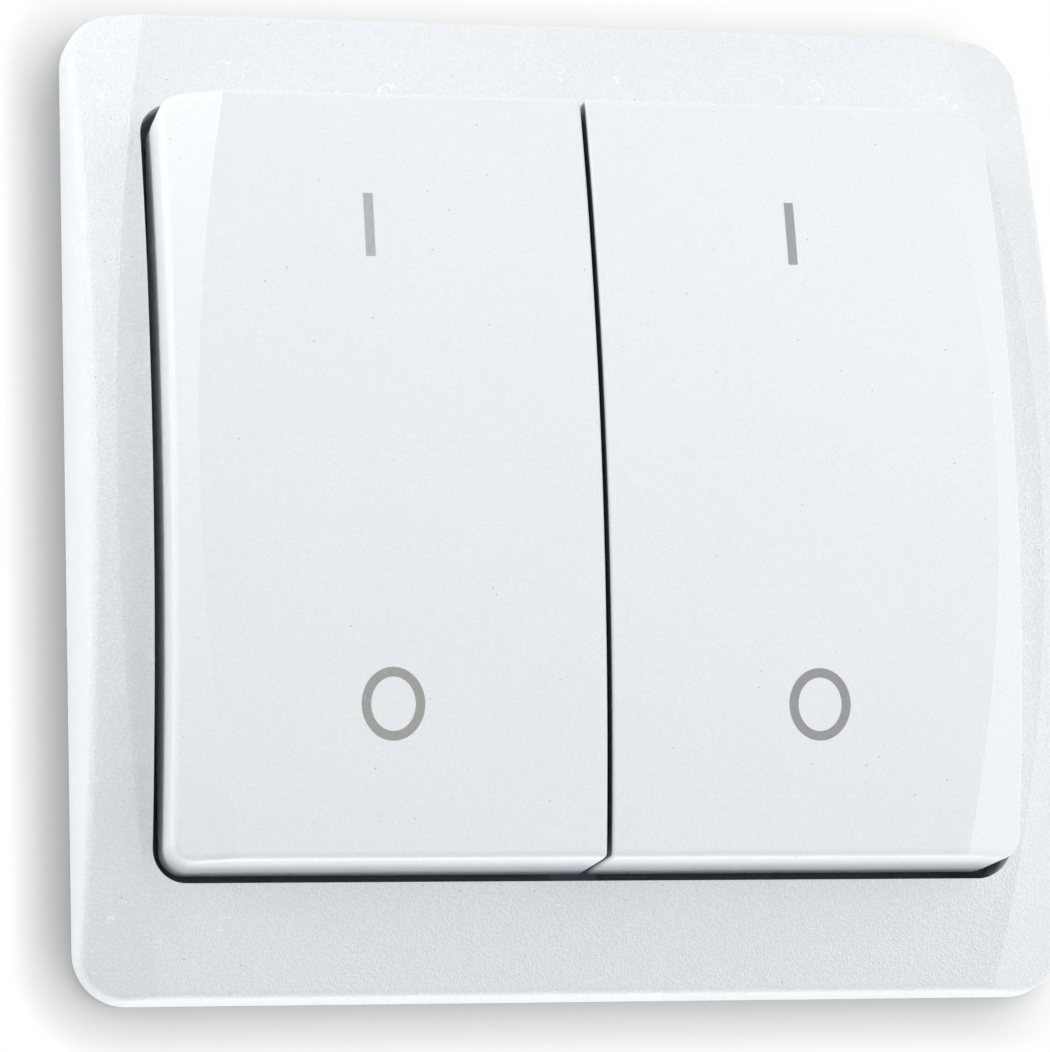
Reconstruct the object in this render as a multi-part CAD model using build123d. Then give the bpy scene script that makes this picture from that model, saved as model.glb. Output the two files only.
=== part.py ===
from build123d import *

import os
from math import cos, radians, sin, sqrt, tan

# Wireless wall switch with two rockers, in millimetres.
# X runs to the right, Z up and Y into the wall, with the origin at the centre of the back.
# A depth is a distance from the wall towards the viewer, so a plane at depth d lies at y = -d.

# Cover frame
frame_side = 80.0
frame_corner = 4.2
frame_crown = 12.0  # depth of the arched front at mid-height
frame_end_depth = 3.7  # depth of the arched front at its upper and lower edges
frame_crease_inset = 2.7  # from the side to the crease of the front, at mid-height
frame_crease_end_inset = 6.5  # the same at the upper and lower edges
frame_flank = 16.0  # slope of the flank outside a crease, degrees
frame_edge = 1.0  # rounding where the front meets the side walls
frame_draft = 4.0  # lean of the side walls, degrees
frame_wall = 1.8
frame_lift = 0.3  # shadow gap between the frame's rim and the wall
side_border = 5.5  # width of the frame beside the opening
end_border = 8.8  # width of the frame above and below it
opening_corner = 2.7
collar_wall = 1.2

# Rockers
rocker_gap = 0.8  # between a rocker and the frame's opening
seam = 0.4  # between the two rockers
rocker_crown = 17.75
rocker_end_depth = 14.5
rocker_crease_inset = 2.0
rocker_crease_end_inset = 5.0
rocker_flank = 24.0
rocker_edge = 0.8  # rounding round the outside of the pair
seam_edge = 0.2  # bevel next to the seam
rocker_wall = 1.4
rocker_tilt = 3.5  # degrees to each side
skirt_clearance = 1.1  # left between skirt and plate when a rocker is pressed
lid_clearance = 0.4  # left between seam wall and module when a rocker is pressed
cross_rib_thickness = 1.0
cross_rib_height = 1.4
cross_rib_z = 9.0
post_width = 4.4
post_web = 1.2  # thickness of a post's two crossing webs
post_gap = 0.2  # between a rocker's post and the key below it

# Bearings: pins on the module's lid, snap ribs in the rockers
pin_radius = 0.9
bearing_clearance = 0.12
bearing_mouth = 1.5  # width of the snap mouth
bearing_rise = 1.9  # axis above the lid
bearing_inner_x = 3.8  # middle of the snap rib next to the seam
rib_thickness = 1.6
rib_width = 6.4
rib_clearance = 0.5  # between a snap rib and the lid
tower_gap = 0.3
tower_thickness = 1.6
tower_width = 3.6

# Wall plate
plate_thickness = 2.0
plate_clearance = 0.4
slot_spacing = 60.0
slot_length = 6.0
slot_radius = 2.1
hook_width = 6.0
hook_thickness = 1.0
hook_z = 16.0
snap_clearance = 0.2
barb_reach = 0.5
barb_height = 1.2
ledge_reach = 0.9
ledge_height = 1.0
ledge_depth = 4.0
clip_width = 10.0
clip_gap = 0.3
clip_reach = 0.7
clip_depth = 5.0
clip_height = 1.0
groove_reach = 0.6

# Transmitter module
module_width = 51.0
module_height = 48.0
module_corner = 2.0
module_wall = 1.3
tray_floor = 1.0
lid_thickness = 1.0
pad_side = 4.0  # corner pads that hold the board between tray and lid
lip_length = 20.0  # lips of the lid that snap into the tray's side walls
lip_thickness = 1.0
lip_gap = 0.1
bead_reach = 0.4
bead_land = 0.3  # wall left in front of a bead's groove

# Circuit board and keys
board_thickness = 1.0
board_clearance = 0.5
mat_thickness = 0.7
mat_clearance = 0.1
mat_margin = 4.6  # from a key's middle to the edge of its mat
key_x = 13.0
key_z = 17.0
key_rise = 1.3  # key top above the lid
key_side = 6.0
key_opening_clearance = 0.5

# Coin cell, its lid and its contacts
cell_radius = 10.0
cell_thickness = 3.2
cell_cap_radius = 8.8
cell_cap_height = 0.3
cell_seat = 0.1
cell_z = -6.0
stop_clearance = 0.2  # between the cell and the stops round it
stop_wall = 1.0
stop_width = 7.0
stop_height = 1.6
cover_clearance = 0.2
catch_gap = 0.15  # between the tray's floor and the cover's catches
tongue_reach = 1.2
tongue_height = 0.6
contact_room = 0.8  # between the cell and the board
contact_sheet = 0.2
contact_gap = 0.05
contact_width = 5.0
contact_foot = 2.0

# Parts soldered to the back of the board: width along X, height along Z, thickness
controller_size = (8.7, 3.9, 1.4)
transmitter_size = (4.9, 3.9, 1.4)
chip_pitch = 1.27
chip_lead = (0.4, 1.0, 0.25)
chip_row_z = 14.0
controller_x = -12.0
transmitter_x = 10.0
crystal_size = (11.0, 4.6, 3.0)
crystal_flange = 0.4
resonator_size = (5.0, 5.0, 1.2)
resonator_lid = (4.2, 4.2, 0.3)
resonator_place = (17.0, 3.0)
capacitor_size = (1.6, 0.8, 0.8)
capacitor_count = 6
capacitor_pitch = 6.0
capacitor_z = 19.0
resistor_size = (1.6, 0.8, 0.45)
resistor_count = 8
resistor_pitch = 4.5
resistor_z = 9.5
inductor_size = (2.0, 1.25, 1.1)
inductor_count = 3
inductor_pitch = 4.0
inductor_place = (19.5, -7.0)
antenna_radius = 0.4
antenna_standoff = 1.2
antenna_x = -20.0
antenna_top_z = 6.0
antenna_length = 22.0
antenna_tail = 6.0

# Sizes worked out from those above
half_frame = frame_side / 2
frame_inside = half_frame - frame_wall
half_opening_x = half_frame - side_border
half_opening_z = half_frame - end_border
half_rocker_x = half_opening_x - rocker_gap
half_rocker_z = half_opening_z - rocker_gap
rocker_corner = opening_corner - rocker_gap
frame_crease = half_frame - frame_crease_inset
rocker_crease = half_rocker_x - rocker_crease_inset
half_module_x = module_width / 2
half_module_z = module_height / 2
tray_inside_x = half_module_x - module_wall
tray_inside_z = half_module_z - module_wall
floor_front = plate_thickness + tray_floor
cell_rear = floor_front + cell_seat
cell_front = cell_rear + cell_thickness
board_rear = cell_front + contact_room
board_front = board_rear + board_thickness
lid_rear = board_front + mat_thickness + mat_clearance
lid_front = lid_rear + lid_thickness
pivot_depth = lid_front + bearing_rise
tilt_rise = sin(radians(rocker_tilt))
relief_depth = lid_front + half_module_z * tilt_rise + lid_clearance
key_top = lid_front + key_rise
skirt_rear = plate_thickness + skirt_clearance + half_rocker_z * tilt_rise
bearing_outer_x = half_module_x - rib_thickness
half_cover = cell_radius + stop_clearance + stop_wall
corners = [(-1, -1), (1, -1), (-1, 1), (1, 1)]


def prism(outline, start, end, draft=0):
    """A sketch drawn as seen from the front, raised from one depth to another."""
    return extrude(Plane.XZ.offset(start) * outline, end - start, taper=draft)


def box_between(x, depth, z):
    """A box between two places along X, two depths and two heights."""
    middle = Pos((x[0] + x[1]) / 2, -(depth[0] + depth[1]) / 2, (z[0] + z[1]) / 2)
    return middle * Box(abs(x[1] - x[0]), abs(depth[1] - depth[0]), abs(z[1] - z[0]))


def round_bar(x, z, radius, start, end):
    """A cylinder that stands out from the wall."""
    return prism(Pos(x, z) * Circle(radius), start, end)


def cross_pin(x, depth, radius):
    """A cylinder along X at mid-height, between two places along X."""
    middle = Pos((x[0] + x[1]) / 2, -depth, 0)
    return middle * Rot(0, 90, 0) * Cylinder(radius, abs(x[1] - x[0]))


def arc_radius(half_chord, rise):
    """The radius of an arc over a chord."""
    return (half_chord**2 + rise**2) / (2 * rise)


frame_arch = arc_radius(half_frame, frame_crown - frame_end_depth)
frame_crease_bow = arc_radius(half_frame, frame_crease_end_inset - frame_crease_inset)
rocker_arch = arc_radius(half_rocker_z, rocker_crown - rocker_end_depth)
rocker_crease_bow = arc_radius(half_rocker_z, rocker_crease_end_inset - rocker_crease_inset)


def flank_arch_radius(arch, bow, flank):
    """The radius about X of a conical flank that cuts an arch in a crease with this bow."""
    return 1 / (1 / arch + tan(radians(flank)) / bow)


def arched(outline, start, crown, arch, crease, bow, flank, draft=0):
    """A prism whose front is arched about X and falls away in a conical flank outside each crease.

    The axis of a flank is square to the leaning side wall, so that the edge between them is a true arc.
    """
    lean = radians(draft)
    fall = tan(radians(flank + draft))
    radius = flank_arch_radius(arch, bow, flank) / (cos(lean) + fall * sin(lean))
    reach = frame_side
    barrel = Pos(0, arch - crown, 0) * Rot(0, 90, 0) * Cylinder(arch, 2 * reach)
    cone = Pos(0, radius, 0) * Rot(0, 90, 0) * Cone(radius + reach * fall, radius - reach * fall, 2 * reach)
    cone = Pos(crease, -crown, 0) * Rot(0, 0, -draft) * cone
    return prism(outline, start, crown, draft) & barrel & cone & mirror(cone, Plane.YZ)


def front_rim(solid):
    """The edges where the arched front meets the side walls."""
    steep = 0.5
    walls = [f for f in solid.faces() if abs(f.normal_at().Y) < steep]
    fronts = [f for f in solid.faces() if f.normal_at().Y < -steep]
    front_edges = [e for f in fronts for e in f.edges()]
    return [e for w in walls for e in w.edges() if any(e.is_same(g) for g in front_edges)]


def frame_block(inset, start):
    """The cover frame's outer form, or the same form set in by a wall."""
    side = frame_side - 2 * inset
    outline = RectangleRounded(side, side, frame_corner - inset)
    return arched(
        outline,
        start,
        frame_crown - inset,
        frame_arch - inset,
        frame_crease,
        frame_crease_bow,
        frame_flank,
        frame_draft,
    )


def cover_frame():
    outer = frame_block(0, frame_lift)
    outer = fillet(front_rim(outer), frame_edge)
    opening = RectangleRounded(2 * half_opening_x, 2 * half_opening_z, opening_corner)
    collar = RectangleRounded(
        2 * (half_opening_x + collar_wall),
        2 * (half_opening_z + collar_wall),
        opening_corner + collar_wall,
    )
    shell = outer - frame_block(frame_wall, 0)
    shell += prism(collar, plate_thickness, frame_crown) & outer
    shell -= prism(opening, 0, frame_crown)
    for side in (-1, 1):
        for z in (-hook_z, hook_z):
            shell += box_between(
                (side * (frame_inside - ledge_reach), side * (half_frame - frame_wall / 2)),
                (ledge_depth, ledge_depth + ledge_height),
                (z - hook_width / 2, z + hook_width / 2),
            )
    return shell


def plate_half_height(half_width):
    """How high the plate can reach before its corners meet the inside of the frame's flanks."""
    flank_arch = flank_arch_radius(frame_arch - frame_wall, frame_crease_bow, frame_flank)
    fall = (half_width - frame_crease) * tan(radians(frame_flank))
    room = frame_crown - frame_wall - fall - plate_thickness - plate_clearance
    return sqrt(2 * flank_arch * room)


def mounting_plate():
    half_width = frame_inside - plate_clearance
    outline = RectangleRounded(2 * half_width, 2 * plate_half_height(half_width), frame_corner)
    plate = prism(outline, 0, plate_thickness)
    slot = SlotOverall(slot_length, 2 * slot_radius)
    for side in (-1, 1):
        plate -= prism(Pos(side * slot_spacing / 2, 0) * slot, 0, plate_thickness)
        plate -= prism(Pos(0, side * slot_spacing / 2) * Rot(0, 0, 90) * slot, 0, plate_thickness)
    outside = frame_inside - ledge_reach - snap_clearance
    barb_rear = ledge_depth + ledge_height + snap_clearance
    barb_front = barb_rear + barb_height
    for side in (-1, 1):
        for z in (-hook_z, hook_z):
            span = (z - hook_width / 2, z + hook_width / 2)
            tongue = (side * (outside - hook_thickness), side * outside)
            plate += box_between(tongue, (0, barb_front), span)
            plate += barb(side * outside, side * barb_reach, barb_rear, barb_front, span)
    for side in (-1, 1):
        plate += module_clip(side)
    return plate


def barb(x, reach, rear, front, span):
    """The wedge of a snap hook: square behind, sloping to nothing at the front."""
    wedge = Polyline((x, -rear), (x + reach, -rear), (x, -front), close=True)
    return extrude(Pos(0, 0, span[0]) * make_face(wedge), span[1] - span[0], dir=(0, 0, 1))


def side_profile(points, width):
    """A prism across X, from its side view as pairs of height and depth."""
    side = Plane.YZ * make_face(Polyline(*[(-depth, z) for z, depth in points], close=True))
    return extrude(Pos(-width / 2, 0, 0) * side, width, dir=(1, 0, 0))


def module_clip(side):
    """A tongue of the plate that snaps into the groove in the tray's upper or lower wall."""
    inner = half_module_z + clip_gap
    outer = inner + hook_thickness
    front = clip_depth + clip_height
    points = [
        (outer, 0),
        (outer, front),
        (inner, front),
        (inner - clip_reach, clip_depth),
        (inner, clip_depth),
        (inner, 0),
    ]
    return side_profile([(side * z, depth) for z, depth in points], clip_width)


def rocker_pair(inset, start):
    """The outer form of both rockers in one, or the same form set in by a wall."""
    outline = RectangleRounded(
        2 * (half_rocker_x - inset), 2 * (half_rocker_z - inset), rocker_corner - inset
    )
    return arched(
        outline,
        start,
        rocker_crown - inset,
        rocker_arch - inset,
        rocker_crease,
        rocker_crease_bow,
        rocker_flank,
    )


def right_part(solid, x):
    """What lies to the right of a place along X."""
    return solid & box_between((x, half_frame), (0, rocker_crown), (-half_frame, half_frame))


def rocker():
    """The rocker on the right: arched shell, snap ribs, cross ribs and two posts above its keys."""
    pair = rocker_pair(0, skirt_rear)
    outer = right_part(fillet(front_rim(pair), rocker_edge), seam / 2)
    seam_face = outer.faces().sort_by(Axis.X)[0]
    outer = chamfer(seam_face.edges().sort_by(Axis.Y)[:-1], seam_edge)
    shell = outer - right_part(rocker_pair(rocker_wall, 0), seam / 2 + rocker_wall)
    swing = (pivot_depth - skirt_rear) * tilt_rise
    relief_z = half_module_z + clip_gap + hook_thickness + clip_gap + swing
    shell -= box_between((0, half_module_x + clip_gap), (0, relief_depth), (-relief_z, relief_z))
    inside = rocker_crown - rocker_wall
    rib_rear = lid_front + rib_clearance
    for x in (bearing_inner_x, bearing_outer_x):
        span = (x - rib_thickness / 2, x + rib_thickness / 2)
        rib = box_between(span, (rib_rear, rocker_crown), (-rib_width / 2, rib_width / 2))
        rib -= cross_pin(span, pivot_depth, pin_radius + bearing_clearance)
        rib -= box_between(span, (rib_rear, pivot_depth), (-bearing_mouth / 2, bearing_mouth / 2))
        shell += rib & outer
    for side in (-1, 1):
        for width, height in ((post_width, post_web), (post_web, post_width)):
            web = Pos(key_x, side * key_z) * Rectangle(width, height)
            shell += prism(web, key_top + post_gap, rocker_crown) & outer
        span = (side * cross_rib_z, side * (cross_rib_z + cross_rib_thickness))
        rib = box_between((seam / 2, half_rocker_x), (inside - cross_rib_height, rocker_crown), span)
        shell += rib & outer
    return shell


def module_base():
    outline = RectangleRounded(module_width, module_height, module_corner)
    hollow = Rectangle(2 * tray_inside_x, 2 * tray_inside_z)
    tray = prism(outline, plate_thickness, lid_rear) - prism(hollow, floor_front, lid_rear)
    for corner in corners:
        tray += corner_pad(corner, 0, floor_front, board_rear)
    hatch = Rectangle(2 * (half_cover + cover_clearance), 2 * (half_cover + cover_clearance))
    tray -= prism(Pos(0, cell_z) * hatch, plate_thickness, floor_front)
    half = clip_width / 2 + clip_gap
    for side in (-1, 1):
        tray -= box_between(
            (-half, half),
            (clip_depth - snap_clearance, clip_depth + clip_height + snap_clearance),
            (side * half_module_z, side * (half_module_z - groove_reach)),
        )
        tray -= box_between(
            (side * tray_inside_x, side * (tray_inside_x + groove_reach)),
            (board_rear, lid_rear - bead_land),
            (-lip_length / 2 - clip_gap, lip_length / 2 + clip_gap),
        )
    return tray


def corner_pad(corner, gap, start, end):
    """A square pad in a corner of the tray, a little way off its walls."""
    x = tray_inside_x - pad_side, tray_inside_x - gap
    z = tray_inside_z - pad_side, tray_inside_z - gap
    return box_between([corner[0] * place for place in x], (start, end), [corner[1] * place for place in z])


def module_cover():
    outline = RectangleRounded(module_width, module_height, module_corner)
    lid = prism(outline, lid_rear, lid_front)
    for corner in corners:
        lid += corner_pad(corner, lip_gap, board_front, lid_rear)
    opening = Rectangle(key_side + 2 * key_opening_clearance, key_side + 2 * key_opening_clearance)
    lip = tray_inside_x - lip_gap
    lip_span = (-lip_length / 2, lip_length / 2)
    bead_front = lid_rear - bead_land - snap_clearance
    tower_front = pivot_depth + pin_radius
    for side in (-1, 1):
        lid += box_between((side * (lip - lip_thickness), side * lip), (board_front, lid_rear), lip_span)
        lid += barb(side * lip, side * bead_reach, bead_front, board_front, lip_span)
        for z in (-key_z, key_z):
            lid -= prism(Pos(side * key_x, z) * opening, lid_rear, lid_front)
        for rib_x, facing in ((bearing_inner_x, -1), (bearing_outer_x, 1)):
            face = rib_x - facing * (rib_thickness / 2 + tower_gap)
            tip = rib_x + facing * rib_thickness / 2
            tower = (side * face, side * (face - facing * tower_thickness))
            lid += box_between(tower, (lid_rear, tower_front), (-tower_width / 2, tower_width / 2))
            lid += cross_pin((tower[1], side * tip), pivot_depth, pin_radius)
    return lid


def circuit_board():
    outline = Rectangle(2 * (tray_inside_x - board_clearance), 2 * (tray_inside_z - board_clearance))
    return prism(outline, board_rear, board_front)


def key_mat(side):
    """A silicone mat with a key over each of a rocker's two contacts."""
    outline = Rectangle(2 * mat_margin, 2 * (key_z + mat_margin))
    mat = prism(Pos(side * key_x, 0) * outline, board_front, board_front + mat_thickness)
    for z in (-key_z, key_z):
        mat += prism(Pos(side * key_x, z) * Rectangle(key_side, key_side), board_front, key_top)
    return mat


def coin_cell():
    can = round_bar(0, cell_z, cell_radius, cell_rear, cell_front - cell_cap_height)
    return can + round_bar(0, cell_z, cell_cap_radius, cell_rear, cell_front)


def battery_cover():
    """A square lid with four stops round the cell, a tongue at its lower edge and a barb at the upper."""
    lid = prism(Pos(0, cell_z) * Rectangle(2 * half_cover, 2 * half_cover), plate_thickness, floor_front)
    stop = Pos(0, half_cover - stop_wall / 2) * Rectangle(stop_width, stop_wall)
    for turn in (0, 90, 180, 270):
        lid += prism(Pos(0, cell_z) * Rot(0, 0, turn) * stop, plate_thickness, floor_front + stop_height)
    lower = cell_z - half_cover
    upper = cell_z + half_cover
    catch = floor_front + catch_gap
    tongue = [
        (lower, catch),
        (lower - tongue_reach, catch),
        (lower - tongue_reach, catch + tongue_height),
        (lower, catch + tongue_height),
    ]
    snap = [(upper, catch), (upper + barb_reach, catch), (upper, catch + barb_height)]
    return lid + side_profile(tongue, stop_width) + side_profile(snap, stop_width)


def cell_negative_contact():
    """A sprung leaf from the board's back to the middle of the cell."""
    foot_z = cell_z + half_cover + contact_foot
    touch = cell_front + contact_gap
    return side_profile(
        [
            (foot_z, board_rear),
            (foot_z - contact_foot, board_rear),
            (cell_z, touch + contact_sheet),
            (cell_z - contact_foot, board_rear - contact_sheet),
            (cell_z - contact_foot, board_rear - 2 * contact_sheet),
            (cell_z, touch),
            (foot_z - contact_foot, board_rear - contact_sheet),
            (foot_z, board_rear - contact_sheet),
        ],
        contact_width,
    )


def cell_positive_contact():
    """An angle clip that stands on the board's back and bears on the side of the cell."""
    touch = cell_z - cell_radius - contact_gap
    tip = floor_front + stop_height + contact_sheet
    return side_profile(
        [
            (touch, board_rear),
            (touch, tip),
            (touch - contact_sheet, tip),
            (touch - contact_sheet, board_rear - contact_sheet),
            (touch - contact_foot, board_rear - contact_sheet),
            (touch - contact_foot, board_rear),
        ],
        contact_width,
    )


def on_board(x, z, size):
    """A block of a given width, height and thickness on the back of the board."""
    width, height, thickness = size
    return box_between(
        (x - width / 2, x + width / 2),
        (board_rear - thickness, board_rear),
        (z - height / 2, z + height / 2),
    )


def leaded_chip(x, size):
    """A chip with a row of leads along each long side."""
    chip = on_board(x, chip_row_z, size)
    count = int(size[0] // chip_pitch)
    for i in range(count):
        lead_x = x + (i - (count - 1) / 2) * chip_pitch
        for side in (-1, 1):
            lead_z = chip_row_z + side * (size[1] + chip_lead[1]) / 2
            chip += on_board(lead_x, lead_z, chip_lead)
    return chip


def crystal():
    """A flat can with rounded ends on a thin flange."""
    width, height, thickness = crystal_size
    place = Pos(0, chip_row_z)
    flange = place * SlotOverall(width, height)
    can = place * SlotOverall(width - 2 * crystal_flange, height - 2 * crystal_flange)
    base = board_rear - crystal_flange
    return prism(flange, base, board_rear) + prism(can, board_rear - thickness, base)


def saw_resonator():
    """A flat ceramic package with a metal lid."""
    lid = Pos(0, resonator_size[2], 0) * on_board(*resonator_place, resonator_lid)
    return on_board(*resonator_place, resonator_size) + lid


def antenna_wire():
    """A bent wire that leaves the board, runs down its edge and turns in below the cell."""
    depth = board_rear - antenna_standoff
    bottom = antenna_top_z - antenna_length
    path = Polyline(
        (antenna_x, -board_rear, antenna_top_z),
        (antenna_x, -depth, antenna_top_z),
        (antenna_x, -depth, bottom),
        (antenna_x + antenna_tail, -depth, bottom),
    )
    wire = Plane(path @ 0, z_dir=path % 0) * Circle(antenna_radius)
    return sweep(wire, path, transition=Transition.RIGHT)


def chip_row(count, pitch, z, size):
    return [on_board((i - (count - 1) / 2) * pitch, z, size) for i in range(count)]


def chip_inductors():
    x, top = inductor_place
    return Compound([on_board(x, top - i * inductor_pitch, inductor_size) for i in range(inductor_count)])


right_rocker = rocker()
pieces = {
    "mounting_plate": mounting_plate(),
    "cover_frame": cover_frame(),
    "rocker_left": mirror(right_rocker, Plane.YZ),
    "rocker_right": right_rocker,
    "module_base": module_base(),
    "module_cover": module_cover(),
    "circuit_board": circuit_board(),
    "key_mat_left": key_mat(-1),
    "key_mat_right": key_mat(1),
    "coin_cell": coin_cell(),
    "battery_cover": battery_cover(),
    "cell_negative_contact": cell_negative_contact(),
    "cell_positive_contact": cell_positive_contact(),
    "controller_chip": leaded_chip(controller_x, controller_size),
    "transmitter_chip": leaded_chip(transmitter_x, transmitter_size),
    "crystal": crystal(),
    "saw_resonator": saw_resonator(),
    "antenna_wire": antenna_wire(),
    "chip_capacitors": Compound(chip_row(capacitor_count, capacitor_pitch, capacitor_z, capacitor_size)),
    "chip_resistors": Compound(chip_row(resistor_count, resistor_pitch, resistor_z, resistor_size)),
    "chip_inductors": chip_inductors(),
}

os.makedirs("parts", exist_ok=True)
for name, solid in pieces.items():
    export_step(solid, f"parts/{name}.step")
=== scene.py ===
from math import cos, pi, radians, sin

import bmesh
import bpy
from mathutils import Matrix, Vector


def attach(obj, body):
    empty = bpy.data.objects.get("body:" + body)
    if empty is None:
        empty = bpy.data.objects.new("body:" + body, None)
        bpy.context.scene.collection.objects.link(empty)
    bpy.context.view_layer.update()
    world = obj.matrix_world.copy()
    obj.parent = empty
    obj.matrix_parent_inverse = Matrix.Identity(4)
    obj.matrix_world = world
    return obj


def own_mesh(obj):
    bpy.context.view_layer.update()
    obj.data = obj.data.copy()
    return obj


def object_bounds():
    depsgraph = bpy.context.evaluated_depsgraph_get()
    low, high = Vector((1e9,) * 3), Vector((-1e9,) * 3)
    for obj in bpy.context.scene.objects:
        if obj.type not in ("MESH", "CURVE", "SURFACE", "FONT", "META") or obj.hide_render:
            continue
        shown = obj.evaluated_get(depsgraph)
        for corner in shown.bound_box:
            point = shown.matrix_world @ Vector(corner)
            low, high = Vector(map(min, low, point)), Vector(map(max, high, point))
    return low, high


# The looks of a wireless wall switch with two rockers: camera, light, finishes and printed marks.
# Lengths are in metres, in the frame of the CAD model: X to the right, Y into the wall, Z up.

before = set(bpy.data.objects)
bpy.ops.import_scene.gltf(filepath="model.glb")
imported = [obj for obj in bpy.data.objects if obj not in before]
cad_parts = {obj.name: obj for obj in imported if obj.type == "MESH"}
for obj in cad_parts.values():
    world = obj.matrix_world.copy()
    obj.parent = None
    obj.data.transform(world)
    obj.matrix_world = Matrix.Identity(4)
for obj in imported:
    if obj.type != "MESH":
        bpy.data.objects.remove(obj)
cad_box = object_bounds()

MM = 0.001

# Camera: the photograph's view, turned about the frame's origin and then set back from it
PICTURE_WIDTH = 1050
PICTURE_HEIGHT = 1052
FOCAL_PIXELS = 4804.74
SENSOR_WIDTH = 36.0
CAMERA_YAW = radians(12.14)
CAMERA_PITCH = radians(-11.466)
CAMERA_ROLL = radians(-1.917)
CAMERA_SETBACK = Vector((2.595, 389.663, 1.322)) * MM
NEAR_CLIP = 0.01

# Printed marks, on the arched front of each rocker
BAR_MIDDLE_X = {"left": -17.82 * MM, "right": 16.09 * MM}
BAR_MIDDLE_Z = 19.08 * MM
BAR_WIDTH = 0.72 * MM
BAR_HEIGHT = 5.23 * MM
BAR_STEPS = 12
RING_MIDDLE_X = {"left": -16.97 * MM, "right": 16.73 * MM}
RING_MIDDLE_Z = -18.74 * MM
RING_WIDTH = 4.9 * MM
RING_HEIGHT = 5.56 * MM
RING_STROKE = 0.7 * MM
RING_STEPS = 96
INK_PROUD = 0.012 * MM
INK_SUNK = 0.03 * MM

# Rays that find the marks' points on the rockers' fronts: the Y they start from and their direction
BEFORE_SWITCH = -1.0
INTO_WALL = Vector((0.0, 1.0, 0.0))

# Colours, linear: one tone, or the darker and the paler tone of an uneven finish
WHITE = (1.0, 1.0, 1.0)
WHITE_PLASTIC = (0.85, 0.87, 0.89)
DARK_GREY_PLASTIC = (0.17, 0.19, 0.22)
BLACK_PLASTIC = (0.07, 0.07, 0.075)
DUST_DARK = (0.20, 0.20, 0.20)
LINT_WHITE = (0.98, 0.98, 0.98)
# Painted shade: the dark that the seams between the rockers are coloured towards
SEAM_SHADE_DARK = (0.04, 0.04, 0.045)
SILICONE_GREY = ((0.52, 0.53, 0.54), (0.64, 0.65, 0.66))
LACQUER_GREEN = ((0.012, 0.10, 0.035), (0.03, 0.15, 0.06))
TRACK_GREEN = (0.08, 0.28, 0.10)
RESIN_BLACK = ((0.018, 0.018, 0.02), (0.04, 0.04, 0.043))
CERAMIC_TAN = ((0.40, 0.30, 0.19), (0.56, 0.45, 0.31))
CELL_STEEL = (0.66, 0.66, 0.64)
CONTACT_BRONZE = (0.72, 0.58, 0.36)
CAN_STEEL = (0.62, 0.62, 0.63)
ANTENNA_COPPER = (0.72, 0.36, 0.20)
INK_TONES = {
    "bar_mark_left": (0.46, 0.46, 0.454),
    "bar_mark_right": (0.355, 0.352, 0.376),
    "ring_mark_left": (0.348, 0.349, 0.330),
    "ring_mark_right": (0.314, 0.306, 0.333),
}

# Sizes in the moulded finish, and how near another surface has to be for painted shade to darken a seam
CLOUDING_SIZE = 9 * MM
SPECK_RADIUS = 0.075 * MM
LINT_SIZE = 1.6 * MM
SEAM_REACH = 0.55 * MM
SEAM_SAMPLES = 3

# Sizes in the circuit board
WEAVE_SIZE = 0.6 * MM
TRACK_SPACING = 3.2 * MM

# Light: the world's share, and softboxes that face one point, with their place, width, height and power
SEEN_RAYS = ("Is Camera Ray", "Is Glossy Ray", "Is Transmission Ray")
AMBIENT = (0.94, 0.975, 1.0)
AMBIENT_STRENGTH = 0.42
LAMP_AIM = Vector((0.0, 0.0, 0.0))
LAMPS = (
    ("upper_left_box", (-0.50, -0.14, 0.40), 0.4, 0.6, 2.50),
    ("left_front_box", (-0.58, -0.30, 0.00), 0.5, 0.5, 0.75),
    ("right_front_box", (0.45, -0.45, 0.15), 0.7, 0.7, 2.30),
    ("lower_right_box", (0.45, -0.35, -0.40), 0.5, 0.5, 1.15),
    ("lower_rim_box", (0.00, 0.44, -0.60), 0.6, 0.2, 3.00),
)

# Wall behind the switch, one triangle without an edge in view, and the soft shadow round the switch
WALL_REACH = 1.5
WALL_CORNERS = ((-2, -1), (2, -1), (0, 3))
WALL_GAP = 0.3 * MM
WALL_BOUNCE = (0.9, 0.9, 0.9)
SHADOW_REACH = 4.8 * MM
SHADOW_SAMPLES = 16
SHADOW_LEAN = (1.2, -1.0, 0.55)
COVERED_INSET = 2.0 * MM
COVERED_TONE = (0.030, 0.036, 0.045)

# Places of the colour sockets on a Mix node
MIX_FIRST = 6
MIX_SECOND = 7
MIX_RESULT = 2


class Shade:
    """An output of a node, for use in Python expressions. Without an output it only adds nodes."""

    def __init__(self, tree, output=None):
        self.tree = tree
        self.output = output

    def node(self, kind, settings, inputs, output=0):
        """Adds a node: its settings first, then the values or links of its inputs."""
        made = self.tree.nodes.new(kind)
        for name, value in settings.items():
            setattr(made, name, value)
        for name, value in inputs.items():
            if isinstance(value, Shade):
                self.tree.links.new(value.output, made.inputs[name])
            elif value is not None:
                made.inputs[name].default_value = value
        return Shade(self.tree, made.outputs[output] if made.outputs else None)

    def math(self, operation, first, second):
        return self.node("ShaderNodeMath", {"operation": operation}, {0: first, 1: second})

    def __add__(self, other):
        return self.math("ADD", self, other)

    __radd__ = __add__

    def __sub__(self, other):
        return self.math("SUBTRACT", self, other)

    def __rsub__(self, other):
        return self.math("SUBTRACT", other, self)

    def __mul__(self, other):
        return self.math("MULTIPLY", self, other)

    __rmul__ = __mul__

    def __gt__(self, other):
        return self.math("GREATER_THAN", self, other)


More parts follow.
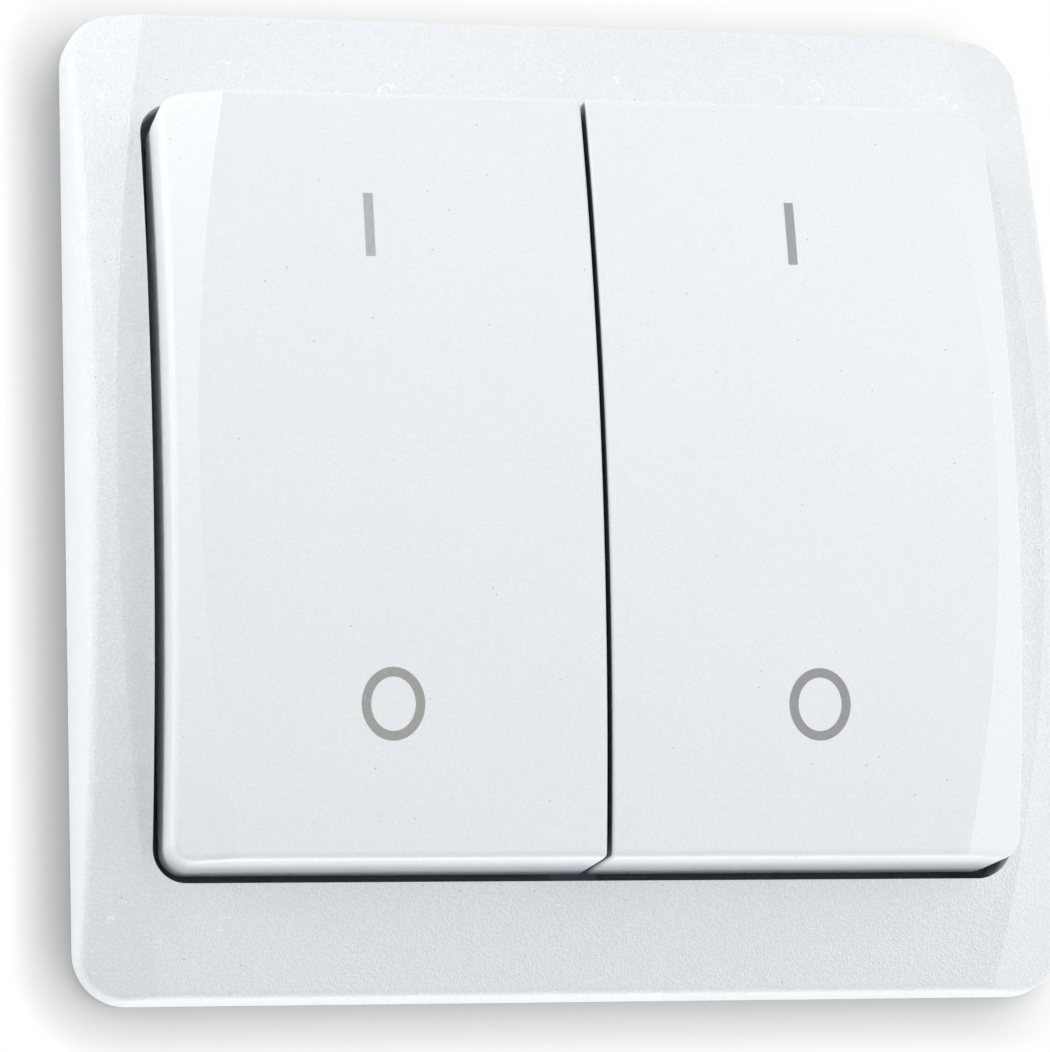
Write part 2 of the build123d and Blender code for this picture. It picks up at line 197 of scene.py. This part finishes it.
def start_material(name):
    """A new empty material and the Shade that adds its nodes."""
    material = bpy.data.materials.new(name)
    material.use_nodes = True
    material.node_tree.nodes.clear()
    return material, Shade(material.node_tree)


def close_material(material, shader):
    """Ends a material with a shader."""
    shader.node("ShaderNodeOutputMaterial", {}, {"Surface": shader})
    return material


def close_surface(material, add, inputs):
    """Ends a material with one surface that has the given inputs."""
    return close_material(material, add.node("ShaderNodeBsdfPrincipled", {}, inputs))


def place_on_object(add):
    """The place on the piece, in metres."""
    return add.node("ShaderNodeTexCoord", {}, {}, "Object")


def noise(add, place, size, detail=2.0):
    """A cloudy pattern from 0 to 1 with features of a given size."""
    inputs = {"Vector": place, "Scale": 1 / size, "Detail": detail, "Roughness": 0.55}
    return add.node("ShaderNodeTexNoise", {}, inputs, "Fac")


def stretched(add, place, factors):
    """A place multiplied along X, Y and Z."""
    return add.node("ShaderNodeVectorMath", {"operation": "MULTIPLY"}, {0: place, 1: factors})


def fade(add, value, start, end):
    """0 below start, 1 above end and a smooth rise between them."""
    settings = {"interpolation_type": "SMOOTHSTEP"}
    return add.node("ShaderNodeMapRange", settings, {"Value": value, "From Min": start, "From Max": end})


def specks(add, place, spacing, radius):
    """Scattered round spots: 1 on a spot and 0 beside it."""
    distance = add.node("ShaderNodeTexVoronoi", {}, {"Vector": place, "Scale": 1 / spacing}, "Distance")
    return 1 - fade(add, distance, 0.4 * radius / spacing, radius / spacing)


def curls(add, place, size):
    """Scattered short curled threads: 1 on a thread and 0 beside it."""
    course = add.math("ABSOLUTE", noise(add, place, size, detail=1.0) - 0.5, None)
    stretch = noise(add, stretched(add, place, (-0.7, 0.7, 0.7)), size, detail=0.0)
    within = fade(add, stretch, start=0.75, end=0.78)
    return within * (1 - fade(add, course, start=0.008, end=0.024))


def tint(add, factor, first, second):
    """A mix of two colours, each a colour or a Shade."""
    inputs = {"Factor": factor}
    for socket, colour in ((MIX_FIRST, first), (MIX_SECOND, second)):
        inputs[socket] = colour if isinstance(colour, Shade) else (*colour, 1.0)
    return add.node("ShaderNodeMix", {"data_type": "RGBA"}, inputs, MIX_RESULT)


def bump(add, height, depth, normal=None):
    """Surface relief of a given depth, in metres."""
    inputs = {"Strength": 1.0, "Distance": depth, "Height": height, "Normal": normal}
    return add.node("ShaderNodeBump", {}, inputs)


def scaled(colour, factor):
    """A colour made darker or paler."""
    return tuple(channel * factor for channel in colour)


def moulded_plastic(
    name, colour, grain_size, grain_depth, grain_shade, roughness,
    dust_spacing=None, lint=False, seam_shade_reach=None,
):
    """Satin moulded plastic: a fine grain and faint clouding, with dust and lint, and painted shade in
    seams where asked for.
    """
    material, add = start_material(name)
    place = place_on_object(add)
    clouding = noise(add, place, CLOUDING_SIZE, detail=3.0)
    grain = fade(add, noise(add, place, grain_size, detail=1.0), start=0.3, end=0.7)
    coarse = noise(add, place, 4 * grain_size, detail=2.0)
    shade = 0.3 * clouding + 0.7 * grain
    surface = tint(add, shade, scaled(colour, 1 - grain_shade), scaled(colour, 1 + grain_shade))
    gloss = roughness + 0.10 * (coarse - 0.5) + 0.06 * (clouding - 0.5)
    if dust_spacing:
        dust = specks(add, place, dust_spacing, SPECK_RADIUS)
        surface = tint(add, 0.75 * dust, surface, DUST_DARK)
        gloss = gloss + 0.2 * dust
    if lint:
        surface = tint(add, 0.8 * curls(add, place, LINT_SIZE), surface, LINT_WHITE)
    # Painted shade: the colour darkens towards a dark grey where another surface is near, as in the seam
    # between the rockers
    if seam_shade_reach:
        settings = {"samples": SEAM_SAMPLES}
        air = add.node("ShaderNodeAmbientOcclusion", settings, {"Distance": seam_shade_reach}, "AO")
        surface = tint(add, fade(add, air, start=0.5, end=0.95), SEAM_SHADE_DARK, surface)
    relief = bump(add, coarse, 0.5 * grain_depth, bump(add, grain, grain_depth))
    inputs = {"Base Color": surface, "Roughness": gloss, "IOR": 1.5, "Normal": relief}
    return close_surface(material, add, inputs)


def silicone_rubber():
    """Soft grey silicone with a dull, slightly dusty skin."""
    material, add = start_material("silicone_rubber")
    place = place_on_object(add)
    skin = noise(add, place, size=0.4 * MM, detail=3.0)
    inputs = {
        "Base Color": tint(add, skin, *SILICONE_GREY),
        "Roughness": 0.62 + 0.2 * (skin - 0.5),
        "Subsurface Weight": 0.15,
        "Subsurface Radius": (0.5 * MM, 0.5 * MM, 0.5 * MM),
        "Normal": bump(add, skin, depth=0.01 * MM),
    }
    return close_surface(material, add, inputs)


def board_laminate():
    """Green lacquer over glass fibre, with copper tracks that show through."""
    material, add = start_material("board_laminate")
    place = place_on_object(add)
    on_board = stretched(add, place, (1.0, 0.0, 1.0))
    weave_inputs = {"Vector": on_board, "Scale": 1 / WEAVE_SIZE, "Mortar Size": 0.1}
    weave = add.node("ShaderNodeTexBrick", {"offset": 0.5}, weave_inputs, "Fac")
    settings = {"feature": "DISTANCE_TO_EDGE", "distance": "MANHATTAN"}
    track_inputs = {"Vector": on_board, "Scale": 1 / TRACK_SPACING}
    tracks = add.node("ShaderNodeTexVoronoi", settings, track_inputs, "Distance")
    copper = 1 - fade(add, tracks, start=0.06, end=0.10)
    lacquer = tint(add, 0.3 * weave, *LACQUER_GREEN)
    inputs = {
        "Base Color": tint(add, 0.6 * copper, lacquer, TRACK_GREEN),
        "Roughness": 0.34 + 0.12 * weave,
        "Normal": bump(add, copper + 0.2 * weave, depth=0.03 * MM),
    }
    return close_surface(material, add, inputs)


def brushed_metal(name, colour, roughness, line_width):
    """Sheet metal with fine drawing lines along X and slight tarnish."""
    material, add = start_material(name)
    place = place_on_object(add)
    lines = noise(add, stretched(add, place, (0.08, 1.0, 1.0)), line_width, detail=3.0)
    tarnish = noise(add, place, size=3 * MM, detail=4.0)
    inputs = {
        "Base Color": tint(add, tarnish, scaled(colour, 0.82), colour),
        "Metallic": 1.0,
        "Roughness": roughness + 0.18 * (lines - 0.5) + 0.12 * (tarnish - 0.5),
        "Normal": bump(add, lines, depth=0.004 * MM),
    }
    return close_surface(material, add, inputs)


def moulding_resin():
    """Black chip resin with a fine matt grain."""
    material, add = start_material("moulding_resin")
    place = place_on_object(add)
    grain = noise(add, place, size=0.08 * MM, detail=2.0)
    inputs = {
        "Base Color": tint(add, grain, *RESIN_BLACK),
        "Roughness": 0.55 + 0.15 * (grain - 0.5),
        "Normal": bump(add, grain, depth=0.006 * MM),
    }
    return close_surface(material, add, inputs)


def fired_ceramic():
    """Tan ceramic of the chip parts, with a fine grain."""
    material, add = start_material("fired_ceramic")
    place = place_on_object(add)
    grain = noise(add, place, size=0.12 * MM, detail=3.0)
    inputs = {
        "Base Color": tint(add, grain, *CERAMIC_TAN),
        "Roughness": 0.42 + 0.2 * (grain - 0.5),
        "Normal": bump(add, grain, depth=0.005 * MM),
    }
    return close_surface(material, add, inputs)


def printing_ink(name, colour):
    """Thin pad-printed ink: slightly uneven, with the plastic's grain and a few pinholes."""
    material, add = start_material(name)
    place = place_on_object(add)
    cover = noise(add, place, size=0.35 * MM, detail=3.0)
    grain = noise(add, place, size=0.16 * MM, detail=1.0)
    pinholes = specks(add, place, spacing=0.7 * MM, radius=0.06 * MM)
    ink = tint(add, cover, scaled(colour, 0.88), scaled(colour, 1.12))
    inputs = {
        "Base Color": tint(add, 0.6 * pinholes, ink, WHITE_PLASTIC),
        "Roughness": 0.5 + 0.12 * (cover - 0.5),
        "Normal": bump(add, grain, depth=0.006 * MM),
    }
    return close_surface(material, add, inputs)


def dress_nodes():
    """Gives every CAD node the finish of its real piece."""
    frame_white = moulded_plastic(
        "frame_white", WHITE_PLASTIC, grain_size=0.17 * MM, grain_depth=0.031 * MM, grain_shade=0.05,
        roughness=0.42, dust_spacing=1.5 * MM, lint=True,
    )
    rocker_white = moulded_plastic(
        "rocker_white", WHITE_PLASTIC, grain_size=0.17 * MM, grain_depth=0.006 * MM, grain_shade=0.035,
        roughness=0.36, dust_spacing=1.8 * MM, seam_shade_reach=SEAM_REACH,
    )
    plate_grey = moulded_plastic(
        "plate_grey", DARK_GREY_PLASTIC, grain_size=0.25 * MM, grain_depth=0.012 * MM, grain_shade=0.1,
        roughness=0.48,
    )
    module_black = moulded_plastic(
        "module_black", BLACK_PLASTIC, grain_size=0.22 * MM, grain_depth=0.014 * MM, grain_shade=0.1,
        roughness=0.5,
    )
    steel = brushed_metal("cell_steel", CELL_STEEL, roughness=0.28, line_width=0.05 * MM)
    bronze = brushed_metal("contact_bronze", CONTACT_BRONZE, roughness=0.30, line_width=0.05 * MM)
    can_steel = brushed_metal("can_steel", CAN_STEEL, roughness=0.33, line_width=0.04 * MM)
    copper = brushed_metal("antenna_copper", ANTENNA_COPPER, roughness=0.32, line_width=0.03 * MM)
    silicone = silicone_rubber()
    resin = moulding_resin()
    ceramic = fired_ceramic()
    finishes = {
        "cover_frame": frame_white,
        "rocker_left": rocker_white,
        "rocker_right": rocker_white,
        "mounting_plate": plate_grey,
        "module_base": module_black,
        "module_cover": module_black,
        "battery_cover": module_black,
        "circuit_board": board_laminate(),
        "key_mat_left": silicone,
        "key_mat_right": silicone,
        "coin_cell": steel,
        "cell_negative_contact": bronze,
        "cell_positive_contact": bronze,
        "crystal": can_steel,
        "saw_resonator": can_steel,
        "antenna_wire": copper,
        "controller_chip": resin,
        "transmitter_chip": resin,
        "chip_resistors": resin,
        "chip_capacitors": ceramic,
        "chip_inductors": ceramic,
    }
    for name, material in finishes.items():
        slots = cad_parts[name].data.materials
        slots.clear()
        slots.append(material)


def ring_loop(width, height):
    """The points of an oval about the origin."""
    turns = [2 * pi * step / RING_STEPS for step in range(RING_STEPS)]
    return [(width / 2 * cos(turn), height / 2 * sin(turn)) for turn in turns]


def bar_rows():
    """Two rows of points, up the two sides of a bar about the origin."""
    heights = [BAR_HEIGHT * (step / BAR_STEPS - 0.5) for step in range(BAR_STEPS + 1)]
    return [[(side * BAR_WIDTH / 2, height) for height in heights] for side in (-1, 1)]


def printed_strip(name, rocker, middle, rows, closed, material):
    """A thin skin of ink between two rows of points, laid on the front of a rocker."""
    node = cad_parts[f"rocker_{rocker}"]
    mesh = bmesh.new()
    layers = []
    for lift in (INK_PROUD, -INK_SUNK):
        places = [[on_front(node, middle, point, lift) for point in row] for row in rows]
        layers.append([[mesh.verts.new(place) for place in row] for row in places])
    front, rear = layers
    count = len(rows[0])
    for step in range(count if closed else count - 1):
        after = (step + 1) % count
        for first, second in (front, rear, (front[0], rear[0]), (front[1], rear[1])):
            mesh.faces.new([first[step], first[after], second[after], second[step]])
    if not closed:
        for end in (0, -1):
            mesh.faces.new([front[0][end], front[1][end], rear[1][end], rear[0][end]])
    bmesh.ops.recalc_face_normals(mesh, faces=mesh.faces)
    data = bpy.data.meshes.new(name)
    mesh.to_mesh(data)
    mesh.free()
    data.materials.append(material)
    piece = bpy.data.objects.new(name, data)
    bpy.context.scene.collection.objects.link(piece)
    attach(piece, f"{rocker}_key")


def on_front(node, middle, point, lift):
    """The place on a rocker's front at a point of a mark, raised along the surface's normal."""
    start = Vector((middle[0] + point[0], BEFORE_SWITCH, middle[1] + point[1]))
    found, place, normal, _ = node.ray_cast(start, INTO_WALL)
    if not found:
        raise ValueError(f"no front of {node.name} behind {tuple(start)}")
    return place + normal * lift


def print_marks():
    """A bar at the upper end of each rocker and a ring at its lower end."""
    inks = {name: printing_ink(f"ink_of_{name}", tone) for name, tone in INK_TONES.items()}
    outer = ring_loop(RING_WIDTH, RING_HEIGHT)
    inner = ring_loop(RING_WIDTH - 2 * RING_STROKE, RING_HEIGHT - 2 * RING_STROKE)
    for side in ("left", "right"):
        bar = f"bar_mark_{side}"
        ring = f"ring_mark_{side}"
        bar_middle = (BAR_MIDDLE_X[side], BAR_MIDDLE_Z)
        ring_middle = (RING_MIDDLE_X[side], RING_MIDDLE_Z)
        printed_strip(bar, side, bar_middle, bar_rows(), closed=False, material=inks[bar])
        printed_strip(ring, side, ring_middle, [outer, inner], closed=True, material=inks[ring])


def soften_keys():
    """Gives each silicone mat a mesh of its own."""
    for side in ("left", "right"):
        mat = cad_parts[f"key_mat_{side}"]
        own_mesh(mat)


def softbox(name, place, width, height, power):
    """A white rectangular area lamp that faces the lamps' common point."""
    data = bpy.data.lights.new(name, "AREA")
    data.shape = "RECTANGLE"
    data.size = width
    data.size_y = height
    data.energy = power
    lamp = bpy.data.objects.new(name, data)
    lamp.location = place
    lamp.rotation_mode = "QUATERNION"
    lamp.rotation_quaternion = (LAMP_AIM - Vector(place)).to_track_quat("-Z", "Y")
    bpy.context.scene.collection.objects.link(lamp)


def seen_directly(add):
    """1 for rays from the camera, from gloss or through glass, and 0 for the rest."""
    rays = [add.node("ShaderNodeLightPath", {}, {}, ray) for ray in SEEN_RAYS]
    total = rays[0] + rays[1] + rays[2]
    return total > 0.5


def light_studio():
    """An even world, white where it is seen itself, and the softboxes."""
    world = bpy.data.worlds.new("studio")
    bpy.context.scene.world = world
    world.use_nodes = True
    world.node_tree.nodes.clear()
    add = Shade(world.node_tree)
    seen = seen_directly(add)
    even = {"Color": (*AMBIENT, 1.0), "Strength": AMBIENT_STRENGTH}
    ambient = add.node("ShaderNodeBackground", {}, even)
    white = add.node("ShaderNodeBackground", {}, {"Color": (*WHITE, 1.0), "Strength": 1.0})
    mixed = add.node("ShaderNodeMixShader", {}, {0: seen, 1: ambient, 2: white})
    add.node("ShaderNodeOutputWorld", {}, {"Surface": mixed})
    for name, place, width, height, power in LAMPS:
        softbox(name, place, width, height, power)


def free_wall(add):
    """1 beside the switch and 0 on the stretch of wall that it covers, which little light reaches."""
    half_side = (cad_box[1][0] - cad_box[0][0]) / 2 - COVERED_INSET
    place = add.node("ShaderNodeVectorMath", {"operation": "ABSOLUTE"}, {0: place_on_object(add)})
    across, up = [add.node("ShaderNodeSeparateXYZ", {}, {"Vector": place}, axis) for axis in ("X", "Z")]
    return add.math("MAXIMUM", across, up) > half_side


def hang_on_wall():
    """A white wall with a soft shadow round the switch, clear to views and light from its back."""
    material, add = start_material("studio_wall")
    back = add.node("ShaderNodeNewGeometry", {}, {}, "Backfacing")
    shadow_ray = add.node("ShaderNodeLightPath", {}, {}, "Is Shadow Ray")
    lean = add.node("ShaderNodeVectorMath", {"operation": "NORMALIZE"}, {0: SHADOW_LEAN})
    settings = {"samples": SHADOW_SAMPLES}
    inputs = {"Distance": SHADOW_REACH, "Normal": lean}
    openness = add.node("ShaderNodeAmbientOcclusion", settings, inputs, "AO")
    light = tint(add, openness * free_wall(add), COVERED_TONE, WHITE)
    shown = add.node("ShaderNodeEmission", {}, {"Color": light, "Strength": 1.0})
    bounce = add.node("ShaderNodeBsdfDiffuse", {}, {"Color": (*WALL_BOUNCE, 1.0)})
    clear = add.node("ShaderNodeBsdfTransparent", {}, {})
    solid = add.node("ShaderNodeMixShader", {}, {0: seen_directly(add), 1: bounce, 2: shown})
    shader = add.node("ShaderNodeMixShader", {}, {0: (back + shadow_ray) > 0.5, 1: solid, 2: clear})
    close_material(material, shader)
    data = bpy.data.meshes.new("studio_wall")
    corners = [(x * WALL_REACH, WALL_GAP, z * WALL_REACH) for x, z in WALL_CORNERS]
    data.from_pydata(corners, [], [(0, 1, 2)])
    data.materials.append(material)
    wall = bpy.data.objects.new("studio_wall", data)
    bpy.context.scene.collection.objects.link(wall)


def set_camera():
    """The photograph's camera."""
    turn = Matrix.Rotation(CAMERA_ROLL, 3, "Y") @ Matrix.Rotation(CAMERA_PITCH, 3, "X")
    turn = turn @ Matrix.Rotation(CAMERA_YAW, 3, "Z")
    data = bpy.data.cameras.new("camera")
    data.sensor_width = SENSOR_WIDTH
    data.lens = FOCAL_PIXELS * SENSOR_WIDTH / max(PICTURE_WIDTH, PICTURE_HEIGHT)
    data.clip_start = NEAR_CLIP
    camera = bpy.data.objects.new("camera", data)
    axes = Matrix((turn[0], turn[2], -turn[1])).transposed().to_4x4()
    axes.translation = -(turn.transposed() @ CAMERA_SETBACK)
    camera.matrix_world = axes
    bpy.context.scene.collection.objects.link(camera)
    bpy.context.scene.camera = camera


dress_nodes()
print_marks()
soften_keys()
light_studio()
hang_on_wall()
set_camera()
bpy.context.scene.view_settings.view_transform = "Standard"
